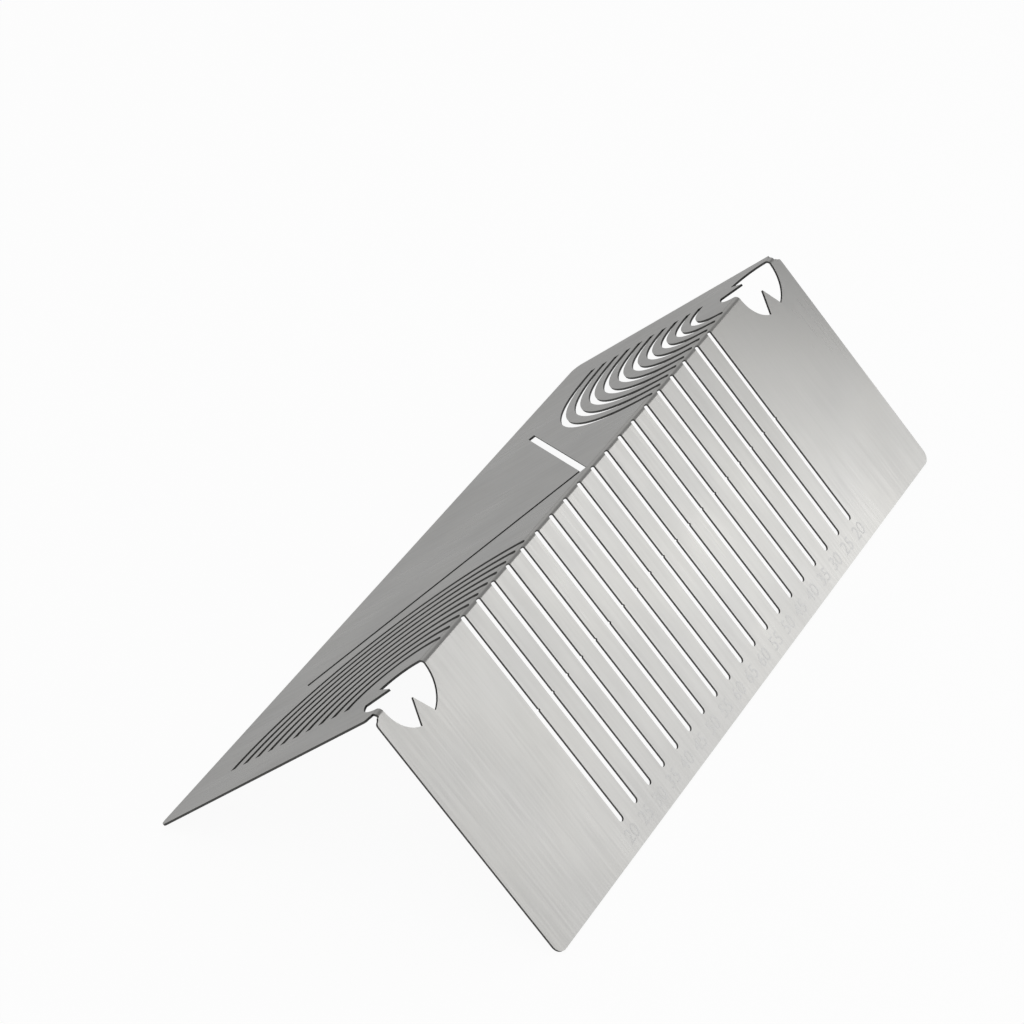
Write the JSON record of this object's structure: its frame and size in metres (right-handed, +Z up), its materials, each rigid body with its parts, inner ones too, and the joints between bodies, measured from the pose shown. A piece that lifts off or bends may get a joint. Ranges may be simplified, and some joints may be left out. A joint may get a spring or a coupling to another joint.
{
  "type": "square tube marking ruler",
  "caption": "Folded right-angle sheet ruler with straight, arc and chevron slots for marking cuts on square tube.",
  "frame": {"origin": "middle of the bounding box, at the level of the two free edges that the ruler stands on", "axes": "+Y along the fold, +Z up through the fold, +X towards the leg with the straight slots"},
  "size_m": [0.112, 0.235, 0.0554],
  "materials": {
    "brushed_stainless": "fine brushed stainless sheet, grain along the fold"
  },
  "bodies": {
    "root": {"folded_ruler": "brushed_stainless"}
  },
  "joints": []
}
